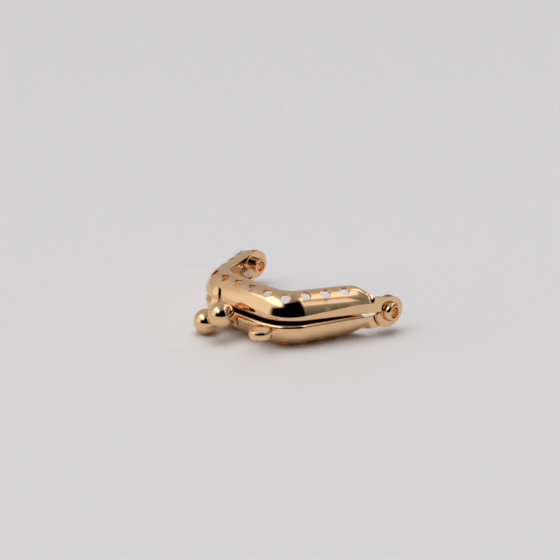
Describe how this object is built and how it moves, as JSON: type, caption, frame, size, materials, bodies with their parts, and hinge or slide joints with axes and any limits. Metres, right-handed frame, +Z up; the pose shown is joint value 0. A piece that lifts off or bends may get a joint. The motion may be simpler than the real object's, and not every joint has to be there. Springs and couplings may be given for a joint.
{
  "type": "kiss-lock purse frame",
  "caption": "Small sew-in purse frame: two arched, drilled half frames hinged on hollow rivets, closed by snap balls, with a loop for a chain.",
  "frame": {"origin": "on the table under the middle of the frame as it lies closed on its lower half", "axes": "+X along the hinge axis towards the end nearer the chain loop, +Y from the clasp balls towards the hinge, +Z up through both halves"},
  "size_m": [0.0438, 0.034, 0.0114],
  "materials": {
    "plated_sheet": "polished light rose gold plating",
    "plated_fittings": "polished light rose gold plating"
  },
  "bodies": {
    "lower_half": {"lower_frame": "plated_sheet", "rivet_right": "plated_fittings", "rivet_left": "plated_fittings", "lower_ball": "plated_fittings", "chain_loop": "plated_fittings"},
    "upper_half": {"upper_frame": "plated_sheet", "upper_ball": "plated_fittings"}
  },
  "joints": [
    {"name": "frame_hinge", "type": "hinge", "parent": "lower_half", "child": "upper_half", "pos_m": [0, 0.01298, 0.00503], "axis": [-1, 0, 0], "range_deg": [0, 160]}
  ]
}
